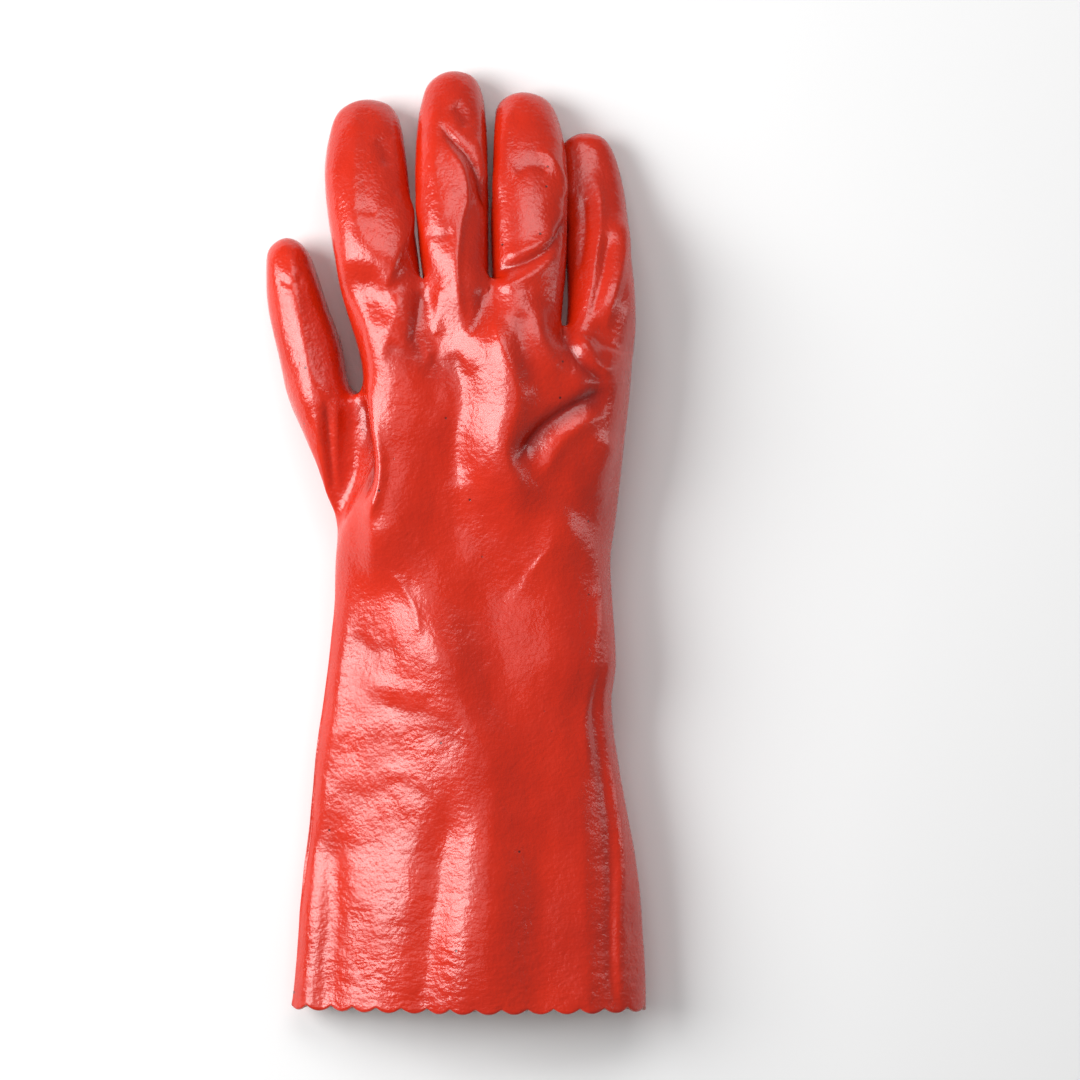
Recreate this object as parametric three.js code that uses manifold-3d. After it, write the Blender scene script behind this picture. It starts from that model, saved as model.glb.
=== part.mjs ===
// A dipped PVC gauntlet glove for the right hand, 400 mm long, lying on its palm.
// Millimetres, +Y from the hem to the fingertips, +Z from the palm to the back of the hand, thumb at -X.
// The glove is one thin shell. A coarse cage of sections is smoothed into its outer skin, folds are pressed
// into the skin, the wall is set off inwards from it, and the hem is cut wavy as pinking shears leave it.
import * as THREE from "three";
import { mergeVertices } from "three/addons/utils/BufferGeometryUtils.js";
import Module from "manifold-3d";

const cuffLength = 175; // hem to the narrowest place of the wrist
const palmLength = 136; // wrist to the gap between index and middle finger
const hemWidth = 151.7;
const wristWidth = 116.8;
const palmWidth = 124.5; // across the knuckles
const cuffHeight = 42; // thickness of the cuff where it lies on the table
const handHeight = 57; // knuckles above the table
const wall = 1.6; // coating and knitted liner together
const thumbLength = 92; // middle of the thumb's root to its tip
const thumbWidth = 28.5;
const thumbHeight = 28;
const pinkPitch = 11; // wave length of the cut hem
const pinkDepth = 2.4;
const foldDepth = 10; // the unit of the fold table's height column
const tableTouch = 0.35; // skin nearer the table than this lies flat on it

// Each finger's root is a stretch of the knuckle row, so its place follows the palm.
// rootWidth: share of width where it leaves the palm. shift: how far its middle stands off its root's middle.
// lean: how far the tip leans towards the thumb. bow: how far the middle of its length bends that way too.
const fingers = [
  { name: "index", length: 83.5, width: 35.4, height: 24.5, rootWidth: 0.97, shift: -2.8, lean: 6.7, bow: 1.5 },
  { name: "middle", length: 95, width: 31.3, height: 25, rootWidth: 0.9, shift: -0.3, lean: 1.7, bow: 1.4 },
  { name: "ring", length: 94.5, width: 32.2, height: 24, rootWidth: 0.96, shift: 0.8, lean: 1.8, bow: -1.4 },
  { name: "little", length: 88.5, width: 28, height: 21.5, rootWidth: 1.04, shift: 2.7, lean: 6.6, bow: -2.5 },
];
const fingertipRise = 8.2; // height of a fingertip's middle above the table
const littleDrop = 6; // how far the little finger hangs below the others halfway out

// Where the finger gaps stand across the knuckles, from the index finger's edge to the little finger's.
const gapShares = [0.045, 0.283, 0.507, 0.757, 0.955];
// How far back of the index finger's gap each of those places lies on the back of the hand, and on the palm.
const gapBack = [0.05, 0, -0.005, 0.145, 0.21];
const palmGapBack = [0.06, 0.06, 0.085, 0.16, 0.22];
// Touching fingers press each other flat along a plane out of each gap.
// lean: sideways per millimetre out. reach: how far out they touch.
const gapPlanes = [
  { lean: -0.106, reach: 75 },
  { lean: 0.03, reach: 85 },
  { lean: 0.045, reach: 20 },
];
const gapWidth = 0.8;

// Sections of the cuff, from the hem to the wrist.
// along: share of cuffLength. flare: share of the way from wristWidth to hemWidth. shift: share of hemWidth.
// top, low, leftEdge, rightEdge: heights as shares of cuffHeight. Below the table the skin lies flat on it.
const cuffSections = [
  { along: -0.012, flare: 1.0, shift: -0.007, top: 1.0, low: -0.11, leftEdge: 0.26, rightEdge: 0.46 },
  { along: 0.14, flare: 0.91, shift: -0.002, top: 0.99, low: -0.11, leftEdge: 0.26, rightEdge: 0.46 },
  { along: 0.29, flare: 0.79, shift: -0.001, top: 0.98, low: -0.11, leftEdge: 0.27, rightEdge: 0.46 },
  { along: 0.43, flare: 0.61, shift: -0.005, top: 0.98, low: -0.11, leftEdge: 0.28, rightEdge: 0.46 },
  { along: 0.57, flare: 0.42, shift: -0.01, top: 0.99, low: -0.11, leftEdge: 0.3, rightEdge: 0.47 },
  { along: 0.715, flare: 0.21, shift: -0.013, top: 1.02, low: -0.11, leftEdge: 0.33, rightEdge: 0.48 },
  { along: 0.86, flare: 0.08, shift: -0.007, top: 1.04, low: -0.11, leftEdge: 0.36, rightEdge: 0.5 },
];

// Sections of the hand, from the wrist to the knuckles.
// along: share of palmLength. left, right: the edges from the glove's long axis, as shares of palmWidth.
// top, low, leftEdge, rightEdge: heights as shares of handHeight. knuckle: how far the finger gaps sink in.
const handSections = [
  { along: 0.0, left: -0.469, right: 0.47, top: 0.745, low: -0.07, leftEdge: 0.27, rightEdge: 0.36, knuckle: 0 },
  { along: 0.125, left: -0.465, right: 0.476, top: 0.785, low: -0.05, leftEdge: 0.3, rightEdge: 0.37, knuckle: 0 },
  { along: 0.25, left: -0.462, right: 0.493, top: 0.84, low: 0, leftEdge: 0.34, rightEdge: 0.39, knuckle: 0 },
  { along: 0.39, left: -0.4, right: 0.512, top: 0.9, low: 0.06, leftEdge: 0.42, rightEdge: 0.42, knuckle: 0 },
  { along: 0.53, left: -0.37, right: 0.53, top: 0.95, low: 0.14, leftEdge: 0.47, rightEdge: 0.45, knuckle: 0 },
  { along: 0.675, left: -0.374, right: 0.542, top: 0.985, low: 0.19, leftEdge: 0.51, rightEdge: 0.46, knuckle: 0.015 },
  { along: 0.83, left: -0.4, right: 0.55, top: 0.99, low: 0.22, leftEdge: 0.54, rightEdge: 0.44, knuckle: 0.055 },
  { along: 1.0, left: -0.444, right: 0.556, top: 0.94, low: 0.3, leftEdge: 0.57, rightEdge: 0.42, knuckle: 0.16 },
];

// The way along a finger. along: share of its length. width, height: shares of its own. rooted: share of
// rootWidth's effect. fall: share of the way down from the knuckle to the tip. sway: share of lean.
const fingerSections = [
  { along: 0.16, width: 1.0, rooted: 1, height: 1.2, fall: 0.04, sway: 0.12 },
  { along: 0.36, width: 0.99, rooted: 0.3, height: 1.08, fall: 0.17, sway: 0.38 },
  { along: 0.56, width: 1.0, rooted: 0, height: 1.0, fall: 0.39, sway: 0.62 },
  { along: 0.77, width: 0.94, rooted: 0, height: 0.92, fall: 0.71, sway: 0.86 },
  { along: 0.925, width: 0.72, rooted: 0, height: 0.7, fall: 0.98, sway: 0.98 },
];

// The way along the thumb, from the middle of its root. out: share of palmWidth towards the thumb's side.
// rise: height of its middle as a share of handHeight. turn: degrees its section faces away from the fingers.
const thumbSections = [
  { along: 0.2, out: 0.145, rise: 0.29, turn: 40, width: 0.98, height: 1.12 },
  { along: 0.42, out: 0.192, rise: 0.265, turn: 20, width: 1.0, height: 1.06 },
  { along: 0.63, out: 0.236, rise: 0.25, turn: 14, width: 0.93, height: 0.98 },
  { along: 0.8, out: 0.266, rise: 0.235, turn: 10, width: 0.8, height: 0.86 },
  { along: 0.93, out: 0.283, rise: 0.215, turn: 6, width: 0.57, height: 0.62 },
];
const thumbTip = { along: 1.0, out: 0.288, rise: 0.2 };
const thumbRows = { first: 9, last: 12 }; // body rows that the thumb's root lies between

// Folds of the skin. Each runs through its points, [along, across]: along is 0 at the hem, 1 at the wrist, 2 at
// the finger gaps and 3 at the middle fingertip, across is -1 at the thumb's edge and 1 at the other edge.
// width: share of palmWidth. height: share of foldDepth, above 0 a ridge and below 0 a hollow.
const folds = [
  { side: "back", through: [[2.1, -0.12], [1.85, 0.03], [1.6, 0.05], [1.35, 0.12]], width: 0.09, height: 0.34 },
  { side: "back", through: [[1.35, 0.15], [1.1, 0.45], [0.85, 0.72], [0.6, 0.82]], width: 0.1, height: 0.28 },
  { side: "back", through: [[1.66, 0.92], [1.52, 0.62], [1.36, 0.36]], width: 0.1, height: -0.4 },
  { side: "back", through: [[1.5, 0.95], [1.36, 0.68], [1.2, 0.42]], width: 0.09, height: 0.24 },
  { side: "back", through: [[1.96, 0.28], [1.8, 0.3], [1.64, 0.4]], width: 0.08, height: -0.2 },
  { side: "back", through: [[1.92, 0.6], [1.78, 0.7], [1.68, 0.84]], width: 0.08, height: -0.24 },
  { side: "back", through: [[1.98, -0.42], [1.8, -0.36]], width: 0.08, height: -0.22 },
  { side: "back", through: [[1.7, -0.92], [1.5, -0.84], [1.26, -0.82]], width: 0.06, height: 0.26 },
  { side: "back", through: [[0.92, -0.62], [0.8, -0.3], [0.72, 0.02]], width: 0.12, height: -0.16 },
  { side: "back", through: [[0.8, 0.1], [0.4, 0.12], [0.0, 0.1]], width: 0.1, height: 0.2 },
  { side: "back", through: [[0.5, -0.16], [0.2, -0.18], [0.0, -0.2]], width: 0.08, height: -0.26 },
  { side: "back", through: [[0.36, -0.74], [0.0, -0.78]], width: 0.08, height: -0.2 },
  { side: "palm", through: [[1.9, -0.35], [1.66, -0.1], [1.5, -0.3]], width: 0.1, height: -0.4 },
  { side: "palm", through: [[1.75, 0.75], [1.5, 0.3], [1.25, 0.12]], width: 0.1, height: -0.35 },
];

const topColumns = 12; // three to each finger
const ringOfFinger = 10; // points round a finger's cage
const bodyRing = 2 * topColumns + 4;
const handLength = palmLength + Math.max(...fingers.map((finger) => finger.length));
const lerp = THREE.MathUtils.lerp;
const smooth = THREE.MathUtils.smoothstep;

// Places of the body's cage columns across the glove, 0 at the thumb's edge and 1 at the other.
const columnShare = (i, shares = gapShares) => {
  const finger = Math.min(Math.floor(i / 3), fingers.length - 1);
  return lerp(shares[finger], shares[finger + 1], i / 3 - finger);
};

// The height of a section over its two edges: tight at the thumb's side, full and round at the other.
const crown = (u) => (u < 0 ? (1 - Math.abs(u) ** 2.1) ** 0.53 : (1 - u ** 2.9) ** 0.5);

// How much a column sinks into the gaps between fingers: 1 at a gap, 0 in a finger's middle and at both edges.
const atGap = (i) => (i % topColumns ? 0.5 + 0.5 * Math.cos((2 * Math.PI * i) / 3) : 0);

// One ring of the body's cage: thumb's edge, over the back, other edge, and back along the palm.
function bodyRingOf({ y, left, right, top, low, leftEdge, rightEdge, knuckle, back, palmBack }) {
  const sunk = knuckle / Math.max(...handSections.map((row) => row.knuckle));
  const point = (share, upper, column) => {
    const u = 2 * share - 1;
    const edge = lerp(leftEdge, rightEdge, share);
    const lie = upper ? top : low;
    const sink = knuckle * atGap(column) * (upper ? -1 : 1) * handHeight;
    const backShare = upper ? back : palmBack;
    return new THREE.Vector3(
      lerp(left, right, share),
      y - palmLength * columnShare(column, backShare) * sunk,
      Math.max(edge + (lie - edge) * crown(u) + sink, 0),
    );
  };
  const ring = [point(0, true, 0)];
  for (let i = 0; i <= topColumns; i++) ring.push(point(columnShare(i), true, i));
  ring.push(point(1, true, topColumns));
  for (let i = topColumns; i >= 0; i--) ring.push(point(columnShare(i), false, i));
  return ring;
}

// All rings of the body in millimetres, hem first.
function bodyRings() {
  const cuff = cuffSections.map((row) => {
    const width = lerp(wristWidth, hemWidth, row.flare);
    const middle = row.shift * hemWidth;
    return {
      y: (row.along - 1) * cuffLength,
      left: middle - width / 2,
      right: middle + width / 2,
      top: row.top * cuffHeight,
      low: row.low * cuffHeight,
      leftEdge: row.leftEdge * cuffHeight,
      rightEdge: row.rightEdge * cuffHeight,
      knuckle: 0,
    };
  });
  // At the wrist the palm's edges give way to the wrist's own width.
  const wristScale = wristWidth / ((handSections[0].right - handSections[0].left) * palmWidth);
  const hand = handSections.map((row) => {
    const scale = lerp(wristScale, 1, smooth(row.along, 0, 0.6));
    return {
      y: row.along * palmLength,
      left: row.left * palmWidth * scale,
      right: row.right * palmWidth * scale,
      top: row.top * handHeight,
      low: row.low * handHeight,
      leftEdge: row.leftEdge * handHeight,
      rightEdge: row.rightEdge * handHeight,
      knuckle: row.knuckle,
    };
  });
  return [...cuff, ...hand].map((row) => bodyRingOf({ ...row, back: gapBack, palmBack: palmGapBack }));
}

// A ring round a finger: centre, the direction across it and the direction up through it. It starts at an angle
// from across and runs over the top to across and back underneath.
function fingerRing({ centre, across, up, width, height, from = Math.PI }) {
  const squareness = 2.35;
  return Array.from({ length: ringOfFinger }, (_, i) => {
    const angle = from - (2 * Math.PI * i) / ringOfFinger;
    const [c, s] = [Math.cos(angle), Math.sin(angle)];
    const reach = (Math.abs(c) ** squareness + Math.abs(s) ** squareness) ** (-1 / squareness);
    return centre
      .clone()
      .addScaledVector(across, (c * reach * width) / 2)
      .addScaledVector(up, (s * reach * height) / 2);
  });
}

const meanOf = (points) =>
  points.reduce((sum, p) => sum.add(p), new THREE.Vector3()).divideScalar(points.length);

// The cage: points and four-sided faces, all facing out. The hem is its only open edge.
function buildCage() {
  const points = [];
  const faces = [];
  const add = (p) => points.push(p) - 1;
  const join = (from, to) => {
    from.forEach((a, i) => {
      const j = (i + 1) % from.length;
      faces.push([a, from[j], to[j], to[i]]);
    });
  };
  const cap = (ring, tip) => {
    for (let i = 0; i < ring.length; i += 2) {
      faces.push([ring[(i + ring.length - 1) % ring.length], ring[i], ring[i + 1], tip]);
    }
  };

  const body = bodyRings().map((ring) => ring.map(add));
  const inThumb = (row, column) =>
    row >= thumbRows.first && row < thumbRows.last && (column === bodyRing - 1 || column === bodyRing - 2);
  for (let row = 0; row + 1 < body.length; row++) {
    for (let i = 0; i < bodyRing; i++) {
      const j = (i + 1) % bodyRing;
      if (!inThumb(row, i)) faces.push([body[row][i], body[row][j], body[row + 1][j], body[row + 1][i]]);
    }
  }

  // The four fingers share one point in the middle of each gap.
  const last = body[body.length - 1];
  const top = (i) => last[1 + i];
  const low = (i) => last[bodyRing - 1 - i];
  const webs = [1, 2, 3].map((gap) => {
    const middle = points[top(3 * gap)].clone().lerp(points[low(3 * gap)], 0.5);
    middle.y -= 0.02 * palmLength;
    return add(middle);
  });
  const sides = [last[0], ...webs, last[topColumns + 2]];
  fingers.forEach((finger, f) => {
    const a = 3 * f;
    const root = [sides[f], ...[0, 1, 2, 3].map((k) => top(a + k)), sides[f + 1]];
    root.push(...[3, 2, 1, 0].map((k) => low(a + k)));
    const start = meanOf(root.map((i) => points[i]));
    const drop = finger.name === "little" ? littleDrop : 0;
    const fallOf = (share) => lerp(start.z, fingertipRise, share) - drop * Math.sin(Math.PI * share);
    const from = start.x + finger.shift;
    const tip = new THREE.Vector3(from - finger.lean, start.y + finger.length, 0.85 * fingertipRise);
    let before = root;
    fingerSections.forEach((row) => {
      const centre = new THREE.Vector3(
        lerp(from, tip.x, row.sway) - finger.bow * Math.sin(Math.PI * row.along),
        start.y + finger.length * row.along,
        fallOf(row.fall),
      );
      const slope = ((start.z - fingertipRise) / finger.length) * 1.6 * row.along;
      const pitch = -Math.atan(slope);
      const yaw = Math.atan(finger.lean / finger.length);
      const heading = new THREE.Vector3(-Math.sin(yaw), Math.cos(yaw), 0);
      const across = new THREE.Vector3(Math.cos(yaw), Math.sin(yaw), 0);
      const up = new THREE.Vector3(0, 0, Math.cos(pitch)).addScaledVector(heading, -Math.sin(pitch));
      const width = finger.width * row.width * lerp(1, finger.rootWidth, row.rooted);
      const height = finger.height * row.height;
      const ring = fingerRing({ centre, across, up, width, height }).map(add);
      join(before, ring);
      before = ring;
    });
    cap(before, add(tip));
  });

  // The thumb grows out of the opening left in the side of the palm.
  const { first, last: end } = thumbRows;
  const [edge, lowEdge, lowNext] = [0, bodyRing - 1, bodyRing - 2];
  const root = [body[end][edge], body[end][lowEdge]];
  for (let row = end; row >= first; row--) root.push(body[row][lowNext]);
  root.push(body[first][lowEdge]);
  for (let row = first; row < end; row++) root.push(body[row][edge]);
  const start = meanOf(root.map((i) => points[i]));
  const place = (row) =>
    new THREE.Vector3(start.x - row.out * palmWidth, start.y + row.along * thumbLength, row.rise * handHeight);
  let before = root;
  thumbSections.forEach((row) => {
    const turn = THREE.MathUtils.degToRad(row.turn);
    const across = new THREE.Vector3(Math.cos(turn), Math.sin(turn), 0);
    const up = new THREE.Vector3(0, 0, 1);
    const [width, height] = [thumbWidth * row.width, thumbHeight * row.height];
    const from = (2 * Math.PI) / ringOfFinger;
    const ring = fingerRing({ centre: place(row), across, up, width, height, from }).map(add);
    join(before, ring);
    before = ring;
  });
  cap(before, add(place(thumbTip)));
  return { points, faces, webs: webs.map((i) => points[i].clone()) };
}

// One round of smoothing that splits each face in four. Old points come first and keep their order.
function subdivide({ points, faces }) {
  const facePoint = faces.map((face) => meanOf(face.map((i) => points[i])));
  const edges = new Map();
  faces.forEach((face, f) => {
    face.forEach((a, k) => {
      const b = face[(k + 1) % face.length];
      const key = a < b ? `${a},${b}` : `${b},${a}`;
      if (!edges.has(key)) edges.set(key, { a, b, faces: [], index: 0 });
      edges.get(key).faces.push(f);
    });
  });
  const made = points.map(() => new THREE.Vector3());
  const around = points.map(() => ({ faces: new Set(), middles: [], rim: [] }));
  for (const edge of edges.values()) {
    const middle = points[edge.a].clone().lerp(points[edge.b], 0.5);
    const point =
      edge.faces.length === 2 ? meanOf([points[edge.a], points[edge.b], ...edge.faces.map((f) => facePoint[f])]) : middle;
    edge.index = made.push(point) - 1;
    for (const i of [edge.a, edge.b]) {
      edge.faces.forEach((f) => around[i].faces.add(f));
      around[i].middles.push(middle);
      if (edge.faces.length === 1) around[i].rim.push(middle);
    }
  }
  points.forEach((p, i) => {
    const { faces: near, middles, rim } = around[i];
    if (rim.length) {
      made[i].copy(p).multiplyScalar(0.5).addScaledVector(rim[0], 0.25).addScaledVector(rim[1], 0.25);
      return;
    }
    const n = near.size;
    const q = meanOf([...near].map((f) => facePoint[f]));
    made[i].copy(q).addScaledVector(meanOf(middles), 2).addScaledVector(p, n - 3).divideScalar(n);
  });
  const firstFace = made.length;
  made.push(...facePoint);
  const edgeIndex = (a, b) => edges.get(a < b ? `${a},${b}` : `${b},${a}`).index;
  const split = [];
  faces.forEach((face, f) => {
    face.forEach((a, k) => {
      const next = face[(k + 1) % face.length];
      const previous = face[(k + face.length - 1) % face.length];
      split.push([a, edgeIndex(a, next), firstFace + f, edgeIndex(previous, a)]);
    });
  });
  return { points: made, faces: split };
}

// The smoothed skin passes through the cage's own points: the cage is pushed out until it does.
function smoothSkin(cage) {
  const target = cage.points.map((p) => p.clone());
  const rounds = 6;
  for (let round = 0; round < rounds; round++) {
    const skin = subdivide(cage);
    cage.points.forEach((p, i) => p.add(target[i]).sub(skin.points[i]));
  }
  return subdivide(cage);
}

function normalsOf({ points, faces }) {
  const normals = points.map(() => new THREE.Vector3());
  for (const [a, b, c, d] of faces) {
    const diagonal = points[c].clone().sub(points[a]);
    const normal = diagonal.cross(points[d].clone().sub(points[b])).normalize();
    for (const i of [a, b, c, d]) normals[i].add(normal);
  }
  return normals.map((n) => n.normalize());
}

// The edges of the glove at a place along it, from the section tables, for the fold table's points.
function edgesAt(along) {
  const rings = bodyRings();
  const y = along < 1 ? (along - 1) * cuffLength : (along - 1) * palmLength;
  const reach = along > 2 ? palmLength + (along - 2) * (handLength - palmLength) : y;
  const next = rings.findIndex((ring) => ring[0].y > reach);
  const index = next < 0 ? rings.length - 1 : Math.max(next, 1);
  const [low, high] = [rings[index - 1], rings[index]];
  const share = Math.min((reach - low[0].y) / (high[0].y - low[0].y), 1);
  const other = topColumns + 2;
  return { y: reach, left: lerp(low[0].x, high[0].x, share), right: lerp(low[other].x, high[other].x, share) };
}

// Skin that bulges over the plane of a finger gap is pressed back to its own side of it.
function partFingers(skin, webs) {
  const normals = normalsOf(skin);
  webs.forEach((web, gap) => {
    const { lean, reach } = gapPlanes[gap];
    skin.points.forEach((p, i) => {
      const out = p.y - web.y;
      const facing = Math.sign(normals[i].x);
      if (out <= 0 || out > reach || Math.abs(normals[i].x) < 0.15) return;
      const plane = web.x + lean * out;
      const limit = plane - facing * Math.min(gapWidth / 2, 0.08 * out);
      if (Math.abs(p.x - plane) < 5 && (p.x - limit) * facing > 0) p.x = limit;
    });
  });
  return skin;
}

function pressFolds(skin) {
  const normals = normalsOf(skin);
  const curves = folds.map((fold) => {
    const way = fold.through.map(([along, across]) => {
      const { y, left, right } = edgesAt(along);
      return new THREE.Vector3(lerp(left, right, (across + 1) / 2), y, 0);
    });
    return new THREE.CatmullRomCurve3(way).getPoints(24);
  });
  skin.points.forEach((p, i) => {
    let move = 0;
    folds.forEach((fold, f) => {
      const facing = fold.side === "back" ? normals[i].z : -normals[i].z;
      if (facing <= 0) return;
      const curve = curves[f];
      let nearest = Infinity;
      let share = 0;
      curve.forEach((c, k) => {
        const distance = Math.hypot(c.x - p.x, c.y - p.y);
        if (distance < nearest) [nearest, share] = [distance, k / (curve.length - 1)];
      });
      const taper = Math.sin(Math.PI * lerp(0.12, 0.88, share));
      const width = fold.width * palmWidth;
      move += fold.height * foldDepth * Math.exp(-((nearest / width) ** 2) * 2) * taper * smooth(facing, 0.05, 0.6);
    });
    p.addScaledVector(normals[i], move);
    if (p.z < tableTouch) p.z = 0;
  });
  return skin;
}

function geometryOf(points, triangles) {
  const geometry = new THREE.BufferGeometry().setFromPoints(points);
  geometry.setIndex(triangles.flat());
  return geometry;
}

// Two triangles to a face, split along the shorter diagonal.
const splitFace = (points, [a, b, c, d]) =>
  points[a].distanceTo(points[c]) <= points[b].distanceTo(points[d])
    ? [[a, b, c], [a, c, d]]
    : [[a, b, d], [b, c, d]];

// The skin's only open edges, in its faces' own direction.
function hemEdges({ faces }) {
  const edges = new Map();
  faces.forEach((face) => face.forEach((a, k) => edges.set(`${a},${face[(k + 1) % 4]}`, [a, face[(k + 1) % 4]])));
  return [...edges.values()].filter(([a, b]) => !edges.has(`${b},${a}`));
}

// The wall between the skin and its copy set off inwards, closed at the hem. At the bottom of a finger gap two
// walls stand back to back, and the copy is set off towards the wrist.
function shellOf(skin, webs) {
  const normals = normalsOf(skin);
  const count = skin.points.length;
  const reach = 16;
  const inner = skin.points.map((p, i) => {
    const near = Math.min(...webs.map((web) => Math.hypot(p.x - web.x, p.y - web.y))) / reach;
    const out = normals[i].clone();
    out.y += 3 * Math.max(1 - near, 0);
    const moved = p.clone().addScaledVector(out.normalize(), -wall);
    moved.z = Math.max(moved.z, wall);
    return moved;
  });
  const outside = skin.faces.flatMap((face) => splitFace(skin.points, face));
  const triangles = [...outside, ...outside.map(([a, b, c]) => [c + count, b + count, a + count])];
  for (const [a, b] of hemEdges(skin)) triangles.push([b, a, a + count], [b, a + count, b + count]);
  return geometryOf([...skin.points, ...inner], triangles);
}

// The waste below the hem: a disc whose upper side runs up and down in even waves round the cuff.
function hemWaste(skin) {
  const rim = new Map(hemEdges(skin));
  const loop = [];
  for (let i = rim.keys().next().value; loop.length < rim.size; i = rim.get(i)) loop.push(skin.points[i]);
  const outline = new THREE.CatmullRomCurve3(loop, true);
  const waves = Math.round(outline.getLength() / pinkPitch);
  const pointsPerWave = 6;
  const count = waves * pointsPerWave;
  const middle = meanOf(loop);
  const reach = 1.3;
  const hemY = -cuffLength;
  const lowY = hemY - 0.1 * cuffLength;
  const upper = [];
  const lower = [];
  for (let i = 0; i < count; i++) {
    const p = outline.getPointAt(i / count);
    const wave = 0.5 - 0.5 * Math.cos((2 * Math.PI * i) / pointsPerWave);
    const out = middle.clone().lerp(p, reach);
    upper.push(new THREE.Vector3(out.x, hemY + pinkDepth * wave, out.z));
    lower.push(new THREE.Vector3(out.x, lowY, out.z));
  }
  const points = [...upper, ...lower];
  points.push(new THREE.Vector3(middle.x, hemY, middle.z), new THREE.Vector3(middle.x, lowY, middle.z));
  const triangles = [];
  for (let i = 0; i < count; i++) {
    const j = (i + 1) % count;
    triangles.push([i, j, 2 * count], [j + count, i + count, 2 * count + 1]);
    triangles.push([j, i, i + count], [j, i + count, j + count]);
  }
  return geometryOf(points, triangles);
}

const wasm = await Module();
wasm.setup();

function solidOf(geometry) {
  const merged = mergeVertices(geometry, 1e-4);
  const made = new wasm.Manifold(
    new wasm.Mesh({
      numProp: 3,
      vertProperties: merged.attributes.position.array,
      triVerts: new Uint32Array(merged.index.array),
    }),
  );
  if (made.volume() > 0) return made;
  throw new Error("a solid's faces point inwards");
}

function geometryOfSolid(solid) {
  const { vertProperties, triVerts } = solid.getMesh();
  const geometry = new THREE.BufferGeometry();
  geometry.setAttribute("position", new THREE.BufferAttribute(vertProperties, 3));
  geometry.setIndex(new THREE.BufferAttribute(triVerts, 1));
  geometry.computeVertexNormals();
  return geometry;
}

const cage = buildCage();
const skin = pressFolds(partFingers(smoothSkin(cage), cage.webs));
const shell = solidOf(shellOf(skin, cage.webs)).subtract(solidOf(hemWaste(skin)));
const gloveGeometry = geometryOfSolid(shell);

// The glove lies centred on the origin, on the table.
gloveGeometry.computeBoundingBox();
const box = gloveGeometry.boundingBox;
const middle = box.getCenter(new THREE.Vector3());
gloveGeometry.translate(-middle.x, -middle.y, -box.min.z);

const redPvc = new THREE.MeshStandardMaterial({ color: 0xcf3422, roughness: 0.24, metalness: 0 });
const shellMesh = new THREE.Mesh(gloveGeometry, redPvc);
shellMesh.name = "glove_shell";

const glove = new THREE.Group();
glove.add(shellMesh);
export default glove;
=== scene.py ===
# A red PVC gauntlet glove lying on its palm on a white table, seen from straight above.
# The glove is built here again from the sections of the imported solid, finer and with all its folds.
import math

import bpy
import numpy as np
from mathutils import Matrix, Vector, noise


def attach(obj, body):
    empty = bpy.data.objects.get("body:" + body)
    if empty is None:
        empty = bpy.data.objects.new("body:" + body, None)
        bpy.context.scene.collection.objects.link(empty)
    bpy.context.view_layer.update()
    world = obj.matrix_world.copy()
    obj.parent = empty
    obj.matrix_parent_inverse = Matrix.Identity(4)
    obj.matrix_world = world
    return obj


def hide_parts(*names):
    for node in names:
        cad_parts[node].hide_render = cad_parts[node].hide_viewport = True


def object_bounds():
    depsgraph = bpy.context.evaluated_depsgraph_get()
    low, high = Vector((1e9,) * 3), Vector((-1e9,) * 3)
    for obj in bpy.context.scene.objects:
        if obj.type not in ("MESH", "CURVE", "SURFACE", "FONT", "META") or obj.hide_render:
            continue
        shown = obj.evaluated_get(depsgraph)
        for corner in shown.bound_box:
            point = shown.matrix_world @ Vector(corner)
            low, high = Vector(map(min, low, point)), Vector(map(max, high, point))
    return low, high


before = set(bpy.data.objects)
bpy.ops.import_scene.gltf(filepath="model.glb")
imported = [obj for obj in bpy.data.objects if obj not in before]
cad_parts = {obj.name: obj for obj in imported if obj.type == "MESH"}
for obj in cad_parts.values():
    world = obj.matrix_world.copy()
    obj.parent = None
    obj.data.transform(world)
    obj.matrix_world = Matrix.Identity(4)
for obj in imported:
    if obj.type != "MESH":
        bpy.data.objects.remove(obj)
cadCorners = [[float(v) for v in corner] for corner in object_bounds()]


def table(names, rows):
    return [dict(zip(names.split(), row)) for row in rows]


# the glove's own sizes, in millimetres, the same as the solid's
glove = {
    "cuffLength": 175,  # hem to the narrowest place of the wrist
    "palmLength": 136,  # wrist to the gap between index and middle finger
    "hemWidth": 151.7,
    "wristWidth": 116.8,
    "palmWidth": 124.5,
    "cuffHeight": 42,
    "handHeight": 57,
    "wall": 1.6,
    "thumbLength": 92,
    "thumbWidth": 28.5,
    "thumbHeight": 28,
    "fingertipRise": 8.2,
    "littleDrop": 6,
    "gapWidth": 0.8,  # between two fingers
    "gapOpening": 0.08,  # how fast a gap gets that wide, as a share of the way out from its root
    "gapReach": 5,  # how far from the gap's middle the skin is pressed aside
    "wristBlend": 0.6,  # the share of palmLength over which the wrist's width gives way to the palm's
    "tipRise": 0.85,  # a finger's tip, as a share of fingertipRise
    "fingerBend": 1.6,
    "webDepth": 0.02,  # how far the skin between two fingers lies back, as a share of palmLength
    "crownLeft": (2.1, 0.53),  # how square the body's cross-section is on either side
    "crownRight": (2.9, 0.5),
    "topColumns": 12,
    "finerFaces": 13000,  # how many of the skin's faces are split once more, where the folds are narrow
}
perMetre = 1000

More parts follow.
